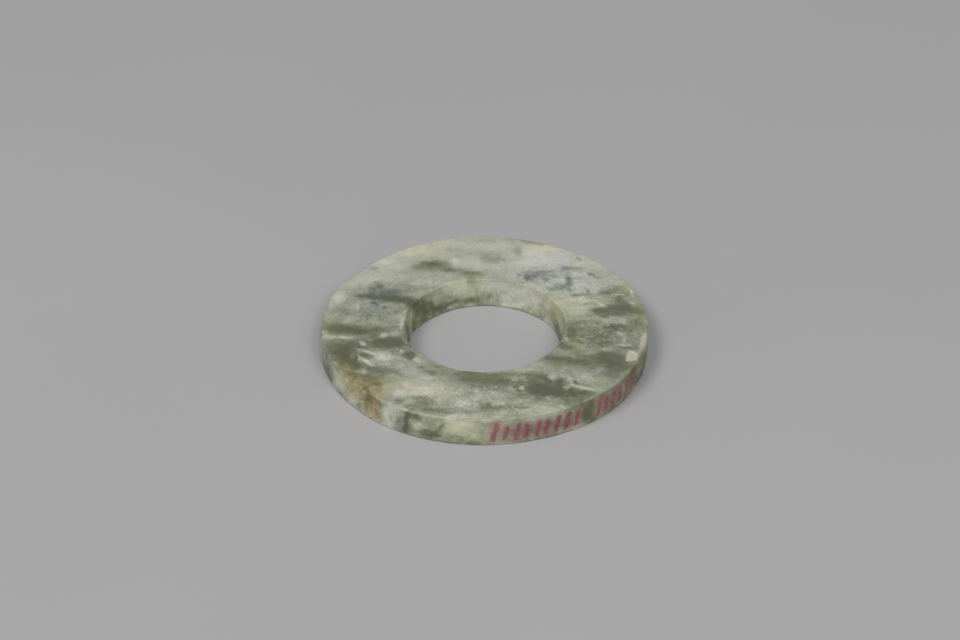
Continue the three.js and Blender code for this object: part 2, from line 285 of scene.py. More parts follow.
# Small marks with firm edges, in the same terms.
UPPER_FACE_MARKS = [
    # left
    (-32.4, -5, 1.7, 0.6, 0.9, -8), (-35.6, -4.7, 1.3, 0.9, 0.6), (-25.6, -4.6, 1, 0.6, -0.3),
    (-37.1, -3.6, 0.7, 2, 0.6), (-28, -7.6, 1.2, 0.6, 1.25, -48), (-26.4, -6.2, 0.8, 0.5, 0.4),
    (-23.4, -4.1, 0.8, 1, 0.7, -30), (-20.6, -3.6, 1.2, 1, 0.45), (-18.4, -6.7, 1.5, 0.4, 0.6, -68),
    (-19, -10.6, 0.5, 0.7, 0.8), (-27.4, -10.6, 2.6, 0.5, 0.9, -28), (-24.3, -12.4, 1.4, 2.2, 0.4),
    (-22.4, -13, 1.7, 1.7, 0.6, -44), (-28.8, -13, 0.5, 1.3, 0.6), (-26.8, -15.2, 2, 0.55, 1, -48),
    (-18, -14, 0.4, 0.5, 0.6), (-15.5, -14.3, 1.3, 0.5, 0.7, -58), (-28.3, -18.9, 1.2, 0.8, 0.6),
    (-27.6, -18.2, 0.6, 2.2, 0.45, 8), (-22.3, -15.8, 1.3, 0.5, 0.25, -10),
    (-27, -12.7, 1.9, 0.9, -0.85, -28), (-29.6, -13.2, 0.4, 2, -0.5), (-17.4, -12.6, 1.4, 1.6, -0.95),
    (-20.7, -10.9, 0.8, 1.1, -0.5, -40), (-14.6, -17.3, 0.9, 0.6, -0.45), (-32, 2.4, 0.6, 1.3, 0.3),
    (-28.2, 2.8, 0.35, 0.9, 0.4, 20), (-29.8, 7.3, 0.6, 0.9, 0.4), (-28.8, 4.8, 1.2, 1, 0.2),
    (-28.2, 8.7, 0.4, 0.4, -0.35), (-23.4, 7.6, 0.6, 0.8, -0.3), (-22.8, 18.2, 1.5, 0.4, -0.3),
    (-25, 16.2, 0.5, 0.9, -0.3), (-26, 9.1, 0.7, 0.4, -0.35, -30), (-20.8, 10.4, 1.8, 0.6, -0.5, -8),
    (-26, 19.2, 1.2, 0.7, 0.45), (-17, 17.4, 0.7, 0.6, 0.3), (-18.6, 5.6, 0.4, 0.8, 0.6, -15),
    (-19.3, 0.6, 0.4, 2.4, 0.6), (-34.4, 11.6, 0.9, 2.2, 0.25),
    # far side
    (-11.2, 25.8, 1.4, 0.7, -0.3), (-6.8, 27.3, 0.8, 1.5, 0.3), (-23.8, 26.8, 1.2, 0.9, 0.3),
    (-17.6, 33, 1.2, 1, 0.2), (-4.6, 18.6, 0.8, 0.9, 0.3), (-7.6, 17.6, 1.6, 0.6, 0.3, 12),
    (11.2, 30.4, 0.6, 1.2, 0.2), (22.9, 27.7, 0.5, 0.9, -0.6, 20),
    # the bluish-grey patch and its dark specks
    (10.3, 23.2, 0.5, 0.6, 0.5), (8.3, 20.8, 0.4, 0.7, -0.5), (10.4, 19.6, 0.7, 1.6, -0.65),
    (11.9, 20.1, 0.9, 0.8, -0.5), (12.2, 23.9, 0.9, 0.4, -0.5), (13.6, 21.9, 1.5, 0.6, -0.4, 8),
    (14.8, 18.8, 1.1, 0.7, -0.75), (16.4, 22.4, 0.8, 0.5, -0.4), (20.5, 23.6, 2.2, 1, -0.35, -6),
    (23.7, 23.3, 0.9, 0.5, -0.45), (25.8, 20.7, 1.1, 0.7, -1.05), (27.6, 19.4, 0.7, 0.5, -0.45),
    (20.4, 17.8, 1, 2, -1.15, 8), (19, 15.8, 0.9, 1, -0.3, 20), (17.4, 15.8, 1.2, 1.1, -0.15, 24),
    (15.4, 16.2, 1, 0.8, 0.35), (20.3, 13.9, 0.6, 0.6, -0.7), (15.9, 14.3, 0.8, 0.6, -0.5),
    (22, 11.8, 1.5, 0.5, -0.45), (24.7, 13.1, 0.6, 1.2, -0.55), (18.5, 18.8, 0.8, 0.6, 0.35),
    (22.3, 20.6, 1.9, 0.9, 0.42), (13.3, 14.2, 1, 0.5, 0.4, -50),
    # far right
    (28.4, 12.4, 1.4, 1, -0.15), (27, 21.6, 1.2, 0.5, -0.2, -20), (32.2, 12, 1.1, 0.35, 0.75),
    (27.4, 7.7, 0.9, 0.35, 1, -48), (28.4, 7, 0.8, 0.3, 0.8, -48), (34.6, 8.4, 0.9, 0.4, 0.9),
    (35.2, 12.3, 0.5, 1.6, 0.7, 10), (33.6, 10.2, 0.4, 0.6, 0.5), (25.8, 5.4, 0.9, 0.8, -0.45),
    (24.1, 8.1, 0.6, 0.4, -0.5),
    # right
    (23, -1, 0.4, 0.7, 0.45), (29, -0.9, 0.4, 0.8, 0.5), (32.7, 0.1, 0.6, 0.8, 0.5),
    (24.6, -5.5, 1, 0.35, 0.6), (22.2, -6.4, 0.7, 0.45, 0.35, -20), (19.2, -6.6, 0.4, 1, 0.7, 15),
    (31.8, -4.4, 1.1, 0.7, 0.75), (32.3, -6.9, 0.8, 1.4, 0.35), (35.2, -12.6, 0.5, 1, 0.35),
    (32.4, -9.2, 1.7, 0.5, 0.8), (24.2, -12.3, 1.2, 0.7, 0.65), (27.7, -10.8, 1, 0.5, 0.4),
    (31.8, -1, 0.8, 0.5, -0.3), (30.6, -2.7, 1, 0.4, -0.35), (33, -10.5, 1.6, 0.45, -0.6),
    (25, -3.2, 1.5, 0.4, -0.3), (28.2, -12.4, 1.6, 0.7, -0.3), (22.6, -16.8, 0.9, 0.5, -0.15),
    # front right
    (6.8, -22.6, 0.8, 1.3, 0.55, 20), (8.8, -22.2, 0.8, 1, 0.5), (8.4, -25.8, 0.6, 1, 0.95, -20),
    (15.3, -22, 0.9, 1.2, 0.6, 30), (18.4, -26, 0.7, 0.9, 0.95, -20), (19.4, -22.8, 0.5, 1.2, 0.5, 10),
    (21.8, -25.7, 3.2, 0.55, 0.95, -20), (14.3, -29.6, 0.5, 0.7, 0.5, 20),
    (7.4, -26.3, 1.9, 0.5, -0.65, -58), (14.4, -22.8, 1.2, 0.4, -0.6, -52), (17, -23.6, 0.6, 1.4, -0.6),
    (20.4, -23.6, 1.2, 0.4, -0.8, -48), (11.4, -26.4, 1, 0.9, -0.3), (1.7, -27.4, 1.1, 0.8, 0.5),
    (-2.2, -26.8, 0.9, 0.5, 0.4), (3.5, -31.4, 1.1, 0.9, 0.5), (3.8, -35, 0.9, 0.8, 0.35),
    (8.8, -30.6, 1.1, 0.6, 0.4), (17.1, -33, 0.5, 0.8, 0.35, 20), (0.8, -32.2, 0.7, 1, -0.6, 20),
    (3, -33.4, 1.6, 0.5, -0.2), (8.6, -33.4, 1.2, 0.4, -0.4, -8),
    # front left
    (-17.8, -24, 1.3, 0.8, 0.45), (-15, -25.4, 2, 0.8, 0.3), (-19.4, -27.2, 1.4, 1.3, 0.45, -30),
    (-12.6, -27.8, 1.2, 1.1, 0.4, -20), (-12.8, -21.6, 1.2, 0.7, 0.4, -20),
    (-17.4, -19.6, 1.6, 0.8, 0.3), (-13.6, -28.9, 1, 0.8, -0.5), (-16, -29, 0.9, 0.5, -0.4),
    (-13.8, -31.6, 1.3, 0.7, -0.35, -20), (-19.4, -30.2, 1, 0.7, -0.35), (-8, -33, 1, 0.6, -0.35),
    (-6.9, -27.6, 0.9, 0.6, 0.45), (-5.2, -31.6, 1.7, 1.1, 0.45), (-1.6, -29.8, 0.7, 0.7, 0.5),
    (-2.2, -31.8, 0.5, 0.8, 0.4), (-6.2, -36.5, 2.4, 0.9, 0.5, 4), (-2.2, -36.7, 1.8, 0.8, 0.2),
    (3.2, -36.6, 1.4, 0.6, 0.25), (-16.4, -34.5, 2.4, 0.35, 0.45, -31), (-11.4, -24, 0.7, 0.5, 0.3),
    (-9.8, -22.2, 0.8, 0.4, -0.35, -30),
]

# Patches of the rim and of the hole's wall: azimuth, height, half-length along the wall, half-height and
# tone, then a turn in degrees where it has one. Most are the stone's own tone; one on the rim is painted
# shade.
RIM_PATCHES = [
    (-166, 2.6, 3.4, 3.2, -0.1), (-146.4, 3.2, 4.8, 3.6, 0.85), (-153, 5.4, 3, 1.2, 0.25),
    (-135, 3.2, 4.2, 3.6, 0.55), (-123.8, 3.4, 2.2, 4, 0.85), (-126, 5.6, 2, 1.2, -0.45),
    (-124.4, 3.2, 0.35, 0.9, -0.6), (-121.8, 2.4, 0.5, 1.8, -0.45, -25),
    (-117.8, 3.6, 0.75, 2.6, -1, -10), (-113.6, 3, 0.7, 1.4, 0.5, -20), (-115.6, 5.8, 1.6, 1.4, -0.7),
    (-112.8, 5.6, 0.8, 0.8, -0.5), (-109, 1.9, 2.4, 1.1, -0.9), (-108, 4.6, 2.2, 1.6, -0.55),
    (-133, 5.2, 0.7, 0.5, -0.9), (-132.4, 6.8, 1.4, 0.7, -0.9), (-139.6, 2.2, 1, 0.5, -0.6, 30),
    (-132, 3.4, 0.5, 0.6, -0.5), (-145, 2, 3, 1.4, 0.3), (-105.6, 4, 0.5, 2, -0.5, -15),
    (-97.6, 4.2, 4.6, 2.6, 0.78), (-94.4, 1, 3.6, 0.4, -0.4), (-84, 3.8, 3.2, 2.6, 0.1),
    (-70, 6, 6, 0.9, 0.25), (-68, 2.2, 7, 2, -0.35), (-52.4, 3.4, 1.8, 3.6, -0.9),
    # the last patch of the next row, at azimuth -16, is painted shade: it darkens the rim's right front
    # where it lies in shadow
    (-43, 3.4, 4.4, 3.4, -0.6), (-31, 3.4, 5, 3.4, -0.75), (-16, 3, 4, 3, -0.3),
]
HOLE_PATCHES = [
    (163, 4.2, 2.4, 3.6, 0.75), (155, 1.8, 1.4, 1.6, -0.4), (146, 3.2, 2.2, 3.6, -0.85, -10),
    (140, 2.4, 1.2, 2.6, -0.4), (133.4, 3, 0.6, 2, -0.8), (127, 2.2, 1.8, 0.7, -0.95, -25),
    (120, 1.6, 2.4, 0.6, -0.8, -18), (113, 2, 1.6, 0.5, -0.35, -12), (114, 5.4, 4, 1.6, 0.45),
    (100, 4.6, 4, 2, 0.3), (97, 1.4, 2.4, 0.9, -0.5), (106, 1.8, 2.4, 1.1, -0.4),
    (95, 5, 0.7, 2.4, -0.25), (86, 2.4, 0.5, 0.8, -0.4), (76, 4, 5, 3, 0.2), (80, 5.8, 4, 1.6, 0.4),
    (64, 5.6, 2.4, 1.4, 0.25), (62, 4.4, 2.6, 3, -0.25), (47, 3, 3.2, 3, 0.55),
    (18, 1.8, 3.2, 1.8, -0.85), (28, 5.6, 3.2, 1.6, 0.5), (172, 2.4, 2, 2.4, -0.5),
]

# Where the mottling is strongest, and paler and darker stone lie in each other as fine flecks. From here on
# the lists for the face and for the walls are in the terms above, with a strength for the tone.
MOTTLED_PATCHES = [
    (27, -5, 9, 7, 1), (28, 13, 8, 6, 0.8), (16, 20, 8, 6, 0.8, -30), (6, -30, 14, 6, 1),
    (18, -23, 8, 4, 1), (-24, -12, 9, 6, 0.8), (-13, -31, 8, 5, 0.8), (-27, 6, 8, 6, 0.6),
    (-20, 14, 6, 5, 0.5),
]

# Where the face's colour leans away from grey-green.
BLUE_GREY_PATCHES = [
    (16, 21.6, 9, 4.8, 1.3, -8), (20.5, 16, 5.4, 4, 1.2), (-23.6, 13.4, 5, 2.8, 0.75, -8),
    (-27, 7.4, 4.6, 2.4, 0.7), (-23.6, -18.4, 3.6, 1.4, 0.4, -10), (26.4, -19.2, 2, 1.1, 0.8),
    (32.4, -7, 1.4, 2.4, 0.4), (-1, -29, 6, 1.6, 0.25), (18, 27.6, 5, 2, 0.7),
]
OLIVE_PATCHES = [
    (36.8, 3, 1.6, 5, 0.6), (33.6, 15, 1, 3, 0.7, 10), (19.8, -4, 1.6, 8, 0.7, 10),
    (17, -14, 2.5, 1.5, 0.5), (-34.5, -1, 4, 2.4, 0.5), (-36.4, 2, 1, 3, 0.5),
    (-17.6, 7.5, 2, 3.5, 1, 10), (-2.8, 21, 2.4, 1.4, 0.8), (-12, 30, 3, 2.5, 0.4),
    (3.6, -21.4, 3.6, 1.8, 0.5), (-12.6, -32.6, 2, 2, 0.5), (-22.6, -22, 2.4, 1.4, 0.5, -20),
    (22, 6, 3, 5, 0.4), (8, -36.6, 7, 1.2, 0.5, 8),
]
CREAM_PATCHES = [
    (-14, -25.6, 6, 2.4, 0.7, -6), (-14, 33.4, 7, 2.4, 0.7, 16), (15.4, 32.6, 4, 1.4, 0.9, -28),
    (13.2, 14.2, 5, 0.8, 0.8, -44), (18.2, 8.4, 4.4, 0.8, 0.8, -64), (26, 9.4, 4, 1, 0.8),
    (-2, -36.8, 2.6, 0.9, 0.8), (-28.2, -18.9, 1.6, 1.2, 1), (-21.8, -26, 1, 2.4, 0.9),
    (35.2, -13, 0.6, 1.6, 1), (36.2, -8, 0.5, 2.4, 1, 10), (24, 24, 3, 2.4, 0.4, -40),
]
# The iron stain that has soaked in at the front left.
STAIN_PATCHES = [
    (-24.8, -27.4, 2.4, 2.6, 0.9), (-27.6, -24.6, 2.2, 1.6, 0.75, -45),
    (-24.6, -23.8, 2.4, 0.9, 0.6, -10), (-27.2, -21.6, 4.4, 1.3, 0.5, -12),
    (-30.6, -22.8, 1.4, 1.6, 0.5, -40), (-23.8, -26.4, 0.8, 2.4, 0.3),
    (-30.4, -19.8, 1.6, 1.6, 0.5, -40), (-33.3, -16.4, 0.8, 2.2, 0.75, 20),
    (-32.2, -12.8, 1.6, 2.2, 0.4), (-30.8, -16, 0.9, 1.8, 0.5),
]
# It stops short at its right side, along a straight crack at this X: over how far to each side it stops,
# how much further that is at the upper face, and how frayed the crack is there.
STAIN_RIGHT_SIDE = -22.8
CRACK_BLUR = 0.25
CRACK_BLUR_AT_TOP = 0.9
CRACK_FRAY = 1.5
# Fainter brown just past the crack, along the right edge and by the far right of the hole.
BROWN_PATCHES = [
    (34, -17.8, 1.5, 3.2, 0.55, -20), (-21.9, -25.6, 0.8, 1.8, 0.3), (24.6, -28.6, 1.2, 3, 0.4, -35),
    (26.5, 9.2, 2.6, 0.8, 0.25),
]
# The dark specks in the stain.
BROWN_SPECKS = [
    (-26.9, -25.5, 0.8, 0.9, 1.1, -40), (-26.2, -27.2, 0.5, 1.2, 0.8, 15),
    (-25.6, -28.8, 0.7, 1.1, 1.1, 20), (-25.9, -31, 0.6, 0.8, 0.9), (-24.2, -23.8, 1.2, 0.6, 0.85),
    (-28.6, -25.8, 0.8, 0.6, 0.5), (-31, -19.6, 0.8, 0.9, 0.6), (-30.8, -15.6, 0.9, 1.3, 0.75),
    (-32.3, -12.6, 1.7, 2.2, 0.7), (-33.4, -17.4, 0.5, 1, 0.5, 20),
]
# The stain down the rim, and fainter brown at the rim's right and at the far right of the hole.
RIM_BROWN_PATCHES = [
    (-130.4, 3.8, 1.8, 4.4, 1), (-135.4, 5.2, 2.4, 1.8, 0.65), (-140, 5.2, 1.6, 1.2, 0.8),
    (-134.4, 2.4, 1.2, 1.8, 0.45), (-145, 4.4, 2, 2.4, 0.35), (-151, 5.8, 4, 1.4, 0.3),
    (-47, 3.6, 5, 3, 0.3), (-26, 4.6, 4, 2.6, 0.45), (-17, 5.6, 3, 2, 0.35),
]
HOLE_BROWN_PATCHES = [
    (24, 6, 3, 1.5, 0.65, -10), (33, 5.6, 2.4, 1.3, 0.5, 15), (14, 2.2, 2, 1.4, 0.4),
    (48, 5.8, 2, 0.9, 0.3),
]
# Where the walls lean to yellow-green.
RIM_OLIVE_PATCHES = [
    (-97, 4.4, 6, 3, 0.7), (-110, 4.6, 5, 3.4, 0.5), (-136.4, 3.6, 1.2, 2.2, 0.8, -15),
    (-52, 3.4, 2.2, 3.6, 0.8), (-90, 1, 4, 1, 0.6), (-28, 5, 4, 2.4, 0.4), (-150, 6.4, 5, 1.4, 0.6),
]
HOLE_OLIVE_PATCHES = [
    (110, 5.4, 7, 2.4, 0.5), (96, 4, 1.6, 4.4, 0.4), (148, 4, 5, 4, 0.9), (168, 4, 3, 3.4, 0.9),
    (14, 5, 2.6, 2.6, 0.7), (99, 1.6, 1.8, 0.8, 0.6),
]

# A shallow flake lost from the upper face near the right edge: its place, and its sides as outward
# directions in degrees with their distances from the middle.
FLAKE_MIDDLE = (33.8, -13.6)
FLAKE_SIDES = [(-4, 1.5), (43, 1.8), (96, 2.3), (171, 1.25), (284, 1.85)]
FLAKE_CORNER_ROUND = 0.3
FLAKE_RAGGEDNESS = 0.18
# The pale broken edge beside it: azimuth, half-length in degrees, reach in from the rim, and strength.
PALE_EDGE_AT = -11.5
PALE_EDGE_HALF = 6.5
PALE_EDGE_WIDTH = 2.3
PALE_EDGE_STRENGTH = 0.72

# The row of ink strokes on the rim, in two groups. Each is a plain slanting dab: azimuth and height of its
# foot, how far its head leans and rises, and its half-width.
INK_STROKES = [
    (-87.6, 1.6, 1, 4, 0.6),
    (-83.5, 1.8, 0.6, 2.9, 0.5),
    (-79.6, 1.5, 0.7, 3.6, 0.56),
    (-76.4, 1.9, 0.4, 2.8, 0.62),
    (-72.4, 1.6, 0.8, 3.4, 0.52),
    (-69.2, 1.7, 0.5, 3.1, 0.6),
    (-65.3, 1.8, 0.7, 3.3, 0.54),
    (-61.8, 1.5, 0.9, 3.6, 0.62),
    (-57.8, 1.9, 0.5, 2.9, 0.56),
    (-48.6, 1.7, 0.7, 3.5, 0.56),
    (-45, 1.9, 0.5, 2.8, 0.6),
    (-41.3, 1.6, 0.8, 3.3, 0.54),
    (-37.8, 1.8, 0.5, 2.9, 0.6),
    (-33.6, 1.6, 0.7, 3.3, 0.54),
    (-29.6, 1.9, 0.6, 2.7, 0.56),
]
# How far a stroke's edge fades to each side, how far out its smudge reaches, and a distance far from any.
INK_FADE = 0.26
INK_SMUDGE = 1.7
FAR_FROM_INK = 10.0

# How the upper face's pattern goes down into the stone: for each millimetre it is taken from this much
# further along X and Y, and it has faded to about a third at the fade depth.
PATCH_LEAN_X = 0.25
PATCH_LEAN_Y = -0.35
PATCH_FADE_DEPTH = 5
# The marks, the flake and the pale broken edge go no deeper than this.
FACE_ONLY_DEPTH = 1.5
# The walls' own patches have come in fully at this depth.
WALL_PATTERN_DEPTH = 0.8

# How far a step along X, Y or Z goes along, across and up through the grain.
GRAIN = np.array([[0.98, -0.17, 0.0], [0.17, 0.98, 0.0], [0.2, 0.3, 1.0]])
# How strongly the face's clouds and marks and the banding along the grain show in the tone, and how much
# of the banding is held back at the upper face.
CLOUD_CONTRAST = 0.85
MARK_CONTRAST = 0.8
BANDING_CONTRAST = 0.95
BANDING_HELD_BACK = 0.75

# How deep each loss of surface is. The turning marks go twice their half-depth deep, a pitch apart.
GRINDING_DEPTH = 0.03
PIT_DEPTH = 0.1
STAINED_PIT_DEPTH = 0.22
TURNING_HALF_DEPTH = 0.035
TURNING_PITCH = 0.9
FLAKE_DEPTH = 0.3
CHIP_DEPTH = 0.3


def patch_sum(along, across, patches, firmness=2):
    """Adds up ellipses: each gives its strength / (1 + q^(2 firmness)), where q is the distance from its
    middle as a share of its half-length and half-width. One without a turn lies along the axes."""
    total = np.zeros_like(along)
    for middle_along, middle_across, half_length, half_width, strength, *turned in patches:
        turn = math.radians(sum(turned))
        c, s = math.cos(turn), math.sin(turn)
        u = (along - middle_along) * c + (across - middle_across) * s
        v = (across - middle_across) * c - (along - middle_along) * s
        total += strength / (1 + ((u / half_length) ** 2 + (v / half_width) ** 2) ** firmness)
    return total


def wall_patch_sum(azimuth, height, radius, patches):
    """The same on a round wall, with the distance along it measured from each patch's own azimuth."""
    total = np.zeros_like(azimuth)
    for at, *patch in patches:
        along = np.radians(degrees_between(azimuth, at)) * radius
        total += patch_sum(along, height, [(0, *patch)])
    return total


def wander(points, reach, size, layers, seeds):
    """Noise that shifts a pattern: a vector of one layered cloud for each seed, times the reach."""
    return reach * np.stack([layered_cloud(points, size, seed, layers, 0.7) for seed in seeds], -1)


def ink_distance(azimuth, height, radius):
    """How far outside the nearest ink stroke a point of the rim is, and negative inside. A stroke is all
    that lies within its half-width of its middle line."""
    nearest = np.full_like(azimuth, FAR_FROM_INK)
    for at, foot, lean, rise, half_width in INK_STROKES:
        along = np.radians(degrees_between(azimuth, at)) * radius
        up = height - foot
        share = np.clip((along * lean + up * rise) / (lean**2 + rise**2), 0, 1)
        nearest = np.minimum(nearest, np.hypot(along - share * lean, up - share * rise) - half_width)
    return nearest


def flake_inside(x, y):
    """How far a point is inside the flake's straight-sided outline: a soft least of the distances d to its
    sides, -r log(sum(exp(-d / r))), where r rounds its corners, made a little ragged by a cloud."""
    ragged = FLAKE_RAGGEDNESS * cloud(np.stack([x, y, np.zeros_like(x)], -1), 0.9, seed=41)
    from_middle_x, from_middle_y = x - FLAKE_MIDDLE[0], y - FLAKE_MIDDLE[1]
    closeness = np.zeros_like(x)
    for turn, reach in FLAKE_SIDES:
        out_x, out_y = math.cos(math.radians(turn)), math.sin(math.radians(turn))
        to_side = reach - from_middle_x * out_x - from_middle_y * out_y
        closeness += np.exp(-np.clip(to_side, -20, 20) / FLAKE_CORNER_ROUND)
    return ragged - FLAKE_CORNER_ROUND * np.log(closeness)


def pale_edge(azimuth, radius, fray):
    """How strongly the pale broken edge shows: it fades along the rim and in from it, with frayed sides."""
    along = np.abs(degrees_between(azimuth, PALE_EDGE_AT)) / PALE_EDGE_HALF + 0.6 * fray[..., 0]
    inwards = (OUTER_RADIUS - radius) / PALE_EDGE_WIDTH + 0.9 * fray[..., 1]
    shape = (1 - smooth_step(along, 0.4, 1.2)) * (1 - smooth_step(inwards, 0.3, 1.0))
    return PALE_EDGE_STRENGTH * shape


def left_of_crack(x, near_top, fray):
    """1 on the stain's side of the crack and 0 past it. The change is frayed and blurred at the upper face,
    and sharper further down."""
    blur = CRACK_BLUR + CRACK_BLUR_AT_TOP * near_top
    frayed_x = x + CRACK_FRAY * near_top * fray[..., 0]
    return 1 - smooth_step(frayed_x, STAIN_RIGHT_SIDE - blur, STAIN_RIGHT_SIDE + blur)


def stone_pattern(points, azimuth, names):
    """The stone's point attributes. The upper face's patches fade with depth, where a banded cloud along
    the grain takes over, and the rim and the hole's wall add patches of their own. Warp is noise that bends
    the soft patches, and fray is finer noise that roughens what has a firm edge."""
    x, y, z = np.moveaxis(points, -1, 0)
    radius = np.hypot(x, y)
    depth = THICKNESS - z
    near_top = np.exp(-depth / PATCH_FADE_DEPTH)
    further_down = 1 - near_top
    warp = wander(points, 0.5, 2.6, 4, seeds=(51, 55, 59))
    fray = wander(points, 0.28, 1.1, 2, seeds=(91, 95))
    face_x = x + warp[..., 0] + PATCH_LEAN_X * depth
    face_y = y + warp[..., 1] + PATCH_LEAN_Y * depth
    wall_azimuth = azimuth + np.degrees(warp[..., 0] / radius)
    wall_z = z + warp[..., 2]
    past_edge = smooth_step(depth, 0.0, WALL_PATTERN_DEPTH)
    on_rim = np.isin(names, RIM_STRETCHES)[:, None] * past_edge
    in_hole = np.isin(names, HOLE_STRETCHES)[:, None] * past_edge

    def face_patches(patches, contrast=1):
        return contrast * patch_sum(face_x, face_y, patches) * near_top

    def rim_patches(patches):
        return on_rim * wall_patch_sum(wall_azimuth, wall_z, OUTER_RADIUS, patches)

    def hole_patches(patches):
        return in_hole * wall_patch_sum(wall_azimuth, wall_z, HOLE_TOP_RADIUS, patches)

    marks = patch_sum(x + fray[..., 0], y + fray[..., 1], UPPER_FACE_MARKS, firmness=4)
    grain = points @ GRAIN
    banding = layered_cloud(grain, (9.0, 3.2, 4.0), 61) + 0.4 * layered_cloud(grain, (22, 7, 9), 71, 2)
    tone = (
        face_patches(UPPER_FACE_CLOUDS, CLOUD_CONTRAST)
        + MARK_CONTRAST * marks * smooth_step(-depth, -FACE_ONLY_DEPTH, -0.5)
        + BANDING_CONTRAST * banding * (1 - BANDING_HELD_BACK * near_top)
        + rim_patches(RIM_PATCHES)
        + hole_patches(HOLE_PATCHES)
    )
    blue = face_patches(BLUE_GREY_PATCHES) + 0.5 * cloud(grain, (14, 6, 6), seed=81) * further_down
    olive = (
        face_patches(OLIVE_PATCHES)
        + 0.6 * cloud(grain, (12, 5, 5), seed=82) * further_down
        + rim_patches(RIM_OLIVE_PATCHES)
        + hole_patches(HOLE_OLIVE_PATCHES)
    )
    soaked_side = left_of_crack(x, near_top, fray)
    brown = (
        face_patches(STAIN_PATCHES) * soaked_side
        + face_patches(BROWN_PATCHES)
        + rim_patches(RIM_BROWN_PATCHES) * np.where(x < 0, soaked_side, 1)
        + hole_patches(HOLE_BROWN_PATCHES)
    )
    flake = smooth_step(flake_inside(x, y), -0.25, 0.3)
    fresh = np.maximum(flake, pale_edge(azimuth, radius, fray)) * (depth < FACE_ONLY_DEPTH)
    edge = np.isin(names, WORN_EDGES)[:, None] * np.ones_like(x)
    inkable = np.isin(names, ["rim", "rim_top"])[:, None]
    return {
        "tone": tone,
        "mottle": np.clip(patch_sum(x, y, MOTTLED_PATCHES), 0, 1) * near_top + 0.5 * further_down,
        "blue": np.clip(blue, 0, 1.4),
        "olive": np.clip(olive, 0, 1.2),
        "cream": np.clip(face_patches(CREAM_PATCHES), 0, 1.2),
        "brown": np.clip(brown, 0, 1.2),
        "brown_speck": np.clip(face_patches(BROWN_SPECKS), 0, 1.2),
        "edge": edge,
        "fresh": fresh,
        "ink": np.where(inkable, ink_distance(azimuth, z, OUTER_RADIUS), FAR_FROM_INK),
    }


def surface_loss(points, names, pattern):
    """How far the surface lies below the plain form: a faint unevenness left by grinding, pits, turning
    marks in the hole, the lost flake and small chips along the edges. It is never negative, so the disc
    keeps within its own size."""
    x, y, z = np.moveaxis(points, -1, 0)
    uneven = GRINDING_DEPTH * (1 + layered_cloud(points, 7.0, 21, 3, 0.6) / 2)
    pitted = PIT_DEPTH * smooth_step(layered_cloud(points, 1.1, 25, 2), 0.75, 1.2)
    stained_pits = STAINED_PIT_DEPTH * smooth_step(cloud(points, 0.9, seed=28), 0.35, 0.8)
    stained_pits = stained_pits * np.clip(pattern["brown"], 0, 1)
    wave = np.sin(2 * np.pi * z / TURNING_PITCH + 2 * cloud(points, 6.0, seed=29))
    turned = TURNING_HALF_DEPTH * (1 + wave) * (names == "hole")[:, None]
    turned = turned * smooth_step(z, 0.4, 1.4) * smooth_step(THICKNESS - z, 0.25, 1.2)
    on_face = z > THICKNESS - FACE_ONLY_DEPTH
    flake = FLAKE_DEPTH * smooth_step(flake_inside(x, y), -0.1, 0.5) * on_face
    chips = CHIP_DEPTH * pattern["edge"] * smooth_step(layered_cloud(points, 1.6, 33, 2), 0.45, 1.1)
    return np.maximum(uneven + pitted + stained_pits + turned + flake + chips, 0)


def torus_faces(rows, columns):
    """Quads of a grid that closes on itself both ways, wound so that they face outwards."""
    row, column = np.meshgrid(np.arange(rows), np.arange(columns), indexing="ij")
    next_row, next_column = (row + 1) % rows, (column + 1) % columns
    corners = [row * columns + column, row * columns + next_column]
    corners += [next_row * columns + next_column, next_row * columns + column]
    return np.stack(corners, -1).reshape(-1, 4)


def mesh_object(name, points, faces):
    """A smooth-shaded mesh object from points in millimetres and quads, placed at the origin."""
    mesh = bpy.data.meshes.new(name)
    mesh.from_pydata((points.reshape(-1, 3) * MM).tolist(), [], faces.tolist())
    mesh.shade_smooth()
    made = bpy.data.objects.new(name, mesh)
    bpy.context.scene.collection.objects.link(made)
    return made


def jade_disc():
    """The disc as one fine closed grid, with the stone's pattern in its point attributes."""
    azimuth = np.linspace(-180, 180, SECTORS, endpoint=False)
    radius, height, names = ring_section(azimuth)
    azimuth = np.tile(azimuth, (len(radius), 1))
    around = np.radians(azimuth)
    points = np.stack([radius * np.cos(around), radius * np.sin(around), height], -1)
    pattern = stone_pattern(points, azimuth, names)
    points = points - outward_normals(points) * surface_loss(points, names, pattern)[..., None]
    middle = (points.min((0, 1)) + points.max((0, 1))) / 2
    points -= middle * [1, 1, 0]
    points[..., 2] = np.clip(points[..., 2] - points[..., 2].min(), 0, THICKNESS)
    disc = mesh_object("jade_disc", points, torus_faces(*radius.shape))
    for name, values in pattern.items():
        point_attribute = disc.data.attributes.new(name, "FLOAT", "POINT")
        point_attribute.data.foreach_set("value", values.astype(np.float32).ravel())
    return disc


# ---------- materials

# The stone's colours from its darkest veins to its palest clouds, by tone.
STONE_COLOURS = [
    (0.0, (0.13, 0.143, 0.084)),
    (0.25, (0.205, 0.221, 0.14)),
    (0.5, (0.362, 0.382, 0.283)),
    (0.75, (0.545, 0.562, 0.446)),
    (1.0, (0.715, 0.725, 0.6)),
]
# The same where it leans to blue-grey, most of all in its dark parts.
BLUE_GREY_COLOURS = [
    (0.0, (0.131, 0.143, 0.118)),
    (0.25, (0.203, 0.219, 0.184)),
    (0.5, (0.356, 0.377, 0.332)),
    (0.75, (0.534, 0.553, 0.49)),
    (1.0, (0.7, 0.714, 0.654)),
]
# What the other leanings multiply it by, so that white is no change.
OLIVE = (1.0, 1.015, 0.79, 1)
CREAM = (1.04, 1.0, 0.88, 1)
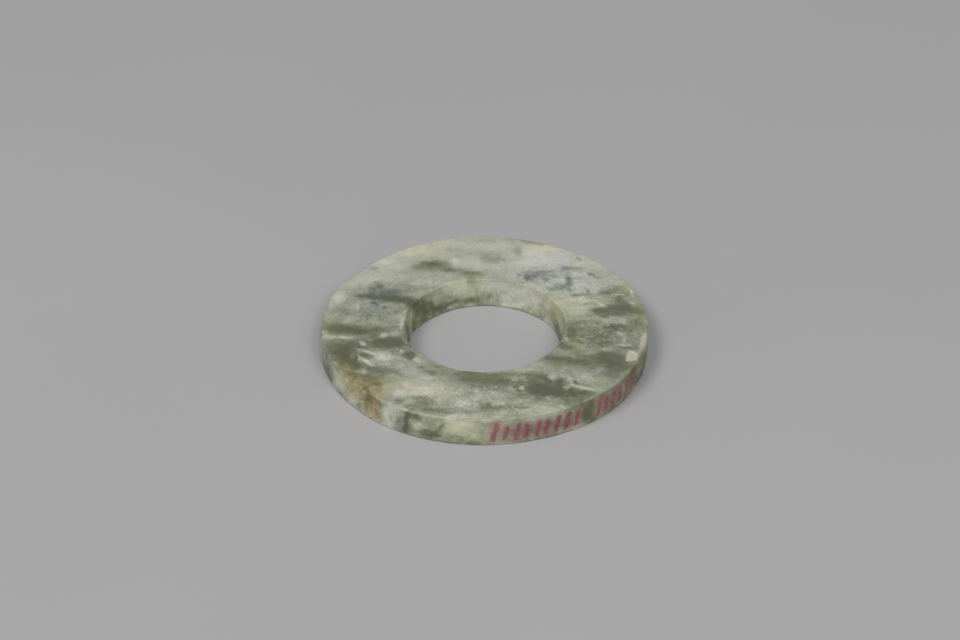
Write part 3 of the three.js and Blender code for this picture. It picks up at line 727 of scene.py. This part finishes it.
# How wide the noise is spread round zero, how much each size of mottling adds to the stone's unevenness,
# and how much that moves its tone, in quiet stone and further where it is mottled.
NOISE_SPREAD = 4
CLOUD_SHARE = 0.85
FLECK_SHARE = 0.7
GRAIN_SHARE = 0.22
MOTTLING_CONTRAST = 0.22
QUIET_MOTTLING = 0.7
MORE_MOTTLING = 0.8
GRAIN_TILT = (0.25, 0.12, math.radians(9))

# What lies over the stone, how fully each hides it, and how far the mottling frays its outline or tone.
STAIN_COLOURS = [
    (0.0, (0.12, 0.094, 0.04)),
    (0.5, (0.348, 0.284, 0.128)),
    (1.0, (0.6, 0.53, 0.315)),
]
STAIN_COVER = 0.92
STAIN_FRAY = 0.5
STAIN_MOTTLING = 0.26
STAIN_SPECK = (0.13, 0.095, 0.038, 1)
STAIN_SPECK_COVER = 0.75
STAIN_SPECK_FRAY = 0.35
RUBBED_EDGE = (0.62, 0.61, 0.47, 1)
RUBBED_EDGE_COVER = 0.14
FRESH_STONE = (0.6, 0.585, 0.45, 1)
FRESH_STONE_COVER = 0.88
FRESH_STONE_FRAY = 0.12
THICK_INK = (0.205, 0.028, 0.04, 1)
THIN_INK = (0.46, 0.13, 0.18, 1)
SMUDGED_INK = (0.36, 0.2, 0.175, 1)
INK_FRAY = 0.1

# The roughness of polished stone, and what the flecks, the stain, the broken and the rubbed places add.
POLISHED_ROUGHNESS = 0.46
FLECK_ROUGHNESS = 0.04
STAIN_ROUGHNESS = 0.12
FRESH_STONE_ROUGHNESS = 0.2
RUBBED_EDGE_ROUGHNESS = 0.1
STONE_IOR = 1.6
# The fine relief: how much the scratches add to the flecks and grain, how strong it is, and its depth.
SCRATCH_SHARE = 0.3
BUMP_STRENGTH = 0.25
BUMP_DEPTH = 0.06

# The floor's paper, from its darkest to its palest.
PAPER_COLOURS = [(0.3, (0.487, 0.482, 0.489)), (0.7, (0.502, 0.497, 0.504))]


def add(tree, kind, inputs=None, **settings):
    """A node with its settings and inputs. An input is a value, or the socket that feeds it."""
    node = tree.nodes.new(kind)
    for name, value in settings.items():
        setattr(node, name, value)
    for key, value in (inputs or {}).items():
        if isinstance(value, bpy.types.NodeSocket):
            tree.links.new(value, node.inputs[key])
        else:
            node.inputs[key].default_value = value
    return node


def math_node(tree, operation, *values, clamp=False):
    """The result of a maths node, with the values as its inputs in order."""
    inputs = dict(enumerate(values))
    return add(tree, "ShaderNodeMath", inputs, operation=operation, use_clamp=clamp).outputs[0]


def times(tree, value, factor):
    """value * factor"""
    return math_node(tree, "MULTIPLY", value, factor)


def plus(tree, value, factor, base, clamp=False):
    """base + factor * value, kept from 0 to 1 where it is clamped."""
    return math_node(tree, "MULTIPLY_ADD", value, factor, base, clamp=clamp)


def mixed(tree, share, first, second, blend="MIX"):
    """Colour first with second laid over it by the given share."""
    inputs = {0: share, 6: first, 7: second}
    return add(tree, "ShaderNodeMix", inputs, data_type="RGBA", blend_type=blend).outputs[2]


def ramp(tree, share, stops):
    """A colour ramp from (position, colour) stops."""
    node = add(tree, "ShaderNodeValToRGB", {0: share})
    elements = node.color_ramp.elements
    for position, colour in stops[1:-1]:
        elements.new(position).color = (*colour, 1)
    elements[0].position, elements[0].color = stops[0][0], (*stops[0][1], 1)
    elements[-1].position, elements[-1].color = stops[-1][0], (*stops[-1][1], 1)
    return node.outputs[0]


def stepped(tree, value, low, high):
    """0 below low, 1 above high, smooth between."""
    inputs = {0: value, 1: low, 2: high}
    return add(tree, "ShaderNodeMapRange", inputs, interpolation_type="SMOOTHSTEP").outputs[0]


def attribute(tree, name):
    """One of the point attributes."""
    return add(tree, "ShaderNodeAttribute", attribute_name=name).outputs["Fac"]


def mottling_group():
    """Rough cloudy noise as a group: coordinates in millimetres go in, and a value round zero comes out.
    Size is the width of its largest clouds, Stretch how many times longer than wide they are along X, and
    Twist how much they curl into each other."""
    group = bpy.data.node_groups.new("mottling", "ShaderNodeTree")
    for name in ("Vector", "Size", "Stretch", "Detail", "Roughness", "Twist"):
        kind = "NodeSocketVector" if name == "Vector" else "NodeSocketFloat"
        group.interface.new_socket(name, in_out="INPUT", socket_type=kind)
    group.interface.new_socket("Value", in_out="OUTPUT", socket_type="NodeSocketFloat")
    given = group.nodes.new("NodeGroupInput").outputs
    shrink = math_node(group, "DIVIDE", 1.0, given["Stretch"])
    stretch = add(group, "ShaderNodeCombineXYZ", {0: shrink, 1: 1.0, 2: 1.0}).outputs[0]
    drawn = add(group, "ShaderNodeVectorMath", {0: given["Vector"], 1: stretch}, operation="MULTIPLY")
    inputs = {
        "Vector": drawn.outputs[0],
        "Scale": math_node(group, "DIVIDE", 1.0, given["Size"]),
        "Detail": given["Detail"],
        "Roughness": given["Roughness"],
        "Distortion": given["Twist"],
    }
    noise = add(group, "ShaderNodeTexNoise", inputs).outputs["Fac"]
    value = plus(group, noise, NOISE_SPREAD, -NOISE_SPREAD / 2)
    result = group.nodes.new("NodeGroupOutput")
    group.links.new(value, result.inputs["Value"])
    return group


def stone_colour(tree, tone):
    """The ramp from dark to pale, mixed with its blue-grey twin, with the olive and cream leanings
    multiplied in."""
    green = ramp(tree, tone, STONE_COLOURS)
    blue_grey = ramp(tree, tone, BLUE_GREY_COLOURS)
    colour = mixed(tree, attribute(tree, "blue"), green, blue_grey)
    for name, tint in (("olive", OLIVE), ("cream", CREAM)):
        colour = mixed(tree, attribute(tree, name), colour, tint, "MULTIPLY")
    return colour


def lay_stain(tree, colour, tone, uneven, soaked):
    """The brown stain over the stone where it is soaked, then the dark specks in it."""
    stain = ramp(tree, plus(tree, uneven, STAIN_MOTTLING, tone), STAIN_COLOURS)
    colour = mixed(tree, times(tree, soaked, STAIN_COVER), colour, stain)
    speck = plus(tree, uneven, STAIN_SPECK_FRAY, attribute(tree, "brown_speck"))
    speck = stepped(tree, speck, low=0.25, high=1.1)
    return mixed(tree, times(tree, speck, STAIN_SPECK_COVER), colour, STAIN_SPECK)


def lay_ink(tree, colour, clouds, uneven):
    """The pink smudge round the ink strokes, then the strokes, thick in some places and thin in others."""
    distance = plus(tree, uneven, INK_FRAY, attribute(tree, "ink"))
    smudged = math_node(tree, "SUBTRACT", 1.0, stepped(tree, distance, 0.0, INK_SMUDGE))
    smudged = times(tree, smudged, plus(tree, clouds, 0.3, base=0.42, clamp=True))
    colour = mixed(tree, smudged, colour, SMUDGED_INK)
    inked = math_node(tree, "SUBTRACT", 1.0, stepped(tree, distance, -INK_FADE, INK_FADE))
    inked = times(tree, inked, plus(tree, clouds, 0.25, base=0.8, clamp=True))
    ink = mixed(tree, stepped(tree, uneven, low=-0.6, high=0.7), THICK_INK, THIN_INK)
    return mixed(tree, inked, colour, ink)


def jade_material():
    """Mottled nephrite. The tone attribute and three sizes of mottling pick the stone's colour. The brown
    stain, the rubbed edges, the fresh flake and the ink are laid over it, and all of them but the ink make
    it duller. The mottling and fine scratches along the grain are its relief."""
    material = bpy.data.materials.new("mottled nephrite")
    material.use_nodes = True
    tree = material.node_tree
    tree.nodes.clear()
    place = add(tree, "ShaderNodeTexCoord").outputs["Object"]
    in_millimetres = {"Vector": place, "Rotation": GRAIN_TILT, "Scale": (1 / MM, 1 / MM, 1 / MM)}
    along_grain = add(tree, "ShaderNodeMapping", in_millimetres).outputs[0]
    group = mottling_group()

    def mottling(size, detail, roughness, twist=0.0, stretch=1.0):
        inputs = {"Vector": along_grain, "Size": size, "Stretch": stretch, "Detail": detail}
        inputs.update(Roughness=roughness, Twist=twist)
        return add(tree, "ShaderNodeGroup", inputs, node_tree=group).outputs[0]

    clouds = mottling(size=2.4, detail=6.0, roughness=0.74, twist=0.35)
    flecks = mottling(size=0.55, detail=3.0, roughness=0.7, twist=0.6)
    grain = mottling(size=0.16, detail=2.0, roughness=0.6)
    scratches = mottling(size=0.07, detail=1.0, roughness=0.5, stretch=30.0)
    uneven = plus(tree, flecks, FLECK_SHARE, times(tree, clouds, CLOUD_SHARE))
    uneven = plus(tree, grain, GRAIN_SHARE, uneven)
    busy = plus(tree, attribute(tree, "mottle"), MORE_MOTTLING, QUIET_MOTTLING)
    # the tone attribute runs from -1 to 1, and the ramps from 0 to 1
    tone = plus(tree, attribute(tree, "tone"), 0.5, base=0.5)
    tone = plus(tree, times(tree, uneven, busy), MOTTLING_CONTRAST, tone, clamp=True)

    soaked = plus(tree, uneven, STAIN_FRAY, attribute(tree, "brown"))
    soaked = stepped(tree, soaked, low=0.15, high=1.05)
    rubbed = times(tree, attribute(tree, "edge"), stepped(tree, clouds, low=0.0, high=0.9))
    fresh = plus(tree, flecks, FRESH_STONE_FRAY, attribute(tree, "fresh"))
    fresh = stepped(tree, fresh, low=0.28, high=0.75)
    colour = stone_colour(tree, tone)
    colour = lay_stain(tree, colour, tone, uneven, soaked)
    colour = mixed(tree, times(tree, rubbed, RUBBED_EDGE_COVER), colour, RUBBED_EDGE)
    colour = mixed(tree, times(tree, fresh, FRESH_STONE_COVER), colour, FRESH_STONE)
    colour = lay_ink(tree, colour, clouds, uneven)

    rough = plus(tree, flecks, FLECK_ROUGHNESS, POLISHED_ROUGHNESS)
    rough = plus(tree, soaked, STAIN_ROUGHNESS, rough)
    rough = plus(tree, fresh, FRESH_STONE_ROUGHNESS, rough)
    rough = plus(tree, rubbed, RUBBED_EDGE_ROUGHNESS, rough, clamp=True)

    relief = plus(tree, scratches, SCRATCH_SHARE, math_node(tree, "ADD", flecks, grain))
    bump_inputs = {"Height": relief, "Strength": BUMP_STRENGTH, "Distance": BUMP_DEPTH * MM}
    bump = add(tree, "ShaderNodeBump", bump_inputs).outputs[0]
    surface = {"Base Color": colour, "Roughness": rough, "Normal": bump, "IOR": STONE_IOR}
    shader = add(tree, "ShaderNodeBsdfPrincipled", surface)
    add(tree, "ShaderNodeOutputMaterial", {"Surface": shader.outputs[0]})
    return material


def floor_material():
    """Plain matt paper, very slightly uneven in tone."""
    material = bpy.data.materials.new("pale grey paper")
    material.use_nodes = True
    tree = material.node_tree
    shader = tree.nodes["Principled BSDF"]
    place = add(tree, "ShaderNodeTexCoord").outputs["Object"]
    noise = add(tree, "ShaderNodeTexNoise", {"Vector": place, "Scale": 9.0, "Detail": 3.0})
    tree.links.new(ramp(tree, noise.outputs["Fac"], PAPER_COLOURS), shader.inputs["Base Color"])
    shader.inputs["Roughness"].default_value = 0.9
    shader.inputs["Specular IOR Level"].default_value = 0.2
    return material


# ---------- floor, light and camera

FLOOR_HALF_SIZE = 2500
SOFT_BOX_SIZE = 1000
ROOM_COLOUR = (0.8, 0.8, 0.81, 1)
ROOM_STRENGTH = 0.31

CAMERA_DISTANCE = 639.7
CAMERA_ELEVATION = 34.75
CAMERA_ROLL = -0.61
CAMERA_AIM = (-0.98, 11.89, 0.0)
CAMERA_LENS = 102.08
CAMERA_NEAREST = 10


def make_floor():
    """A large sheet of pale paper under the disc."""
    half = FLOOR_HALF_SIZE
    corners = np.array([(-half, -half, 0), (half, -half, 0), (half, half, 0), (-half, half, 0)], float)
    floor = mesh_object("floor", corners, np.array([[0, 1, 2, 3]]))
    floor.data.materials.append(floor_material())


def soft_box(name, place, watts):
    """A square soft box at a place in millimetres, facing the disc."""
    data = bpy.data.lights.new(name, "AREA")
    data.shape = "RECTANGLE"
    data.size = SOFT_BOX_SIZE * MM
    data.size_y = SOFT_BOX_SIZE * MM
    data.energy = watts
    light = bpy.data.objects.new(name, data)
    light.location = Vector(place) * MM
    light.rotation_euler = (-light.location).to_track_quat("-Z", "Y").to_euler()
    bpy.context.scene.collection.objects.link(light)


def make_lights():
    """A soft box at the left, a weaker and lower one in front at the right, and an even grey room."""
    soft_box("left soft box", place=(-1080, -910, 1940), watts=21.5)
    soft_box("right soft box", place=(630, -1550, 1730), watts=18.5)
    world = bpy.data.worlds.new("studio")
    bpy.context.scene.world = world
    world.use_nodes = True
    background = world.node_tree.nodes["Background"]
    background.inputs["Color"].default_value = ROOM_COLOUR
    background.inputs["Strength"].default_value = ROOM_STRENGTH


def make_camera():
    """Looks down at the disc from in front, with a long lens."""
    elevation = math.radians(CAMERA_ELEVATION)
    camera = bpy.data.objects.new("camera", bpy.data.cameras.new("camera"))
    camera.data.lens = CAMERA_LENS
    camera.data.clip_start = CAMERA_NEAREST * MM
    camera.location = Vector((0, -math.cos(elevation), math.sin(elevation))) * CAMERA_DISTANCE * MM
    look = (Vector(CAMERA_AIM) * MM - camera.location).to_track_quat("-Z", "Y")
    roll = Euler((0, 0, math.radians(CAMERA_ROLL))).to_quaternion()
    camera.rotation_mode = "QUATERNION"
    camera.rotation_quaternion = look @ roll
    bpy.context.scene.collection.objects.link(camera)
    bpy.context.scene.camera = camera


make_camera()
make_floor()
make_lights()
bpy.context.scene.view_settings.view_transform = "Standard"

disc = jade_disc()
disc.data.materials.append(jade_material())
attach(disc, "root")
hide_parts("bi_disc")
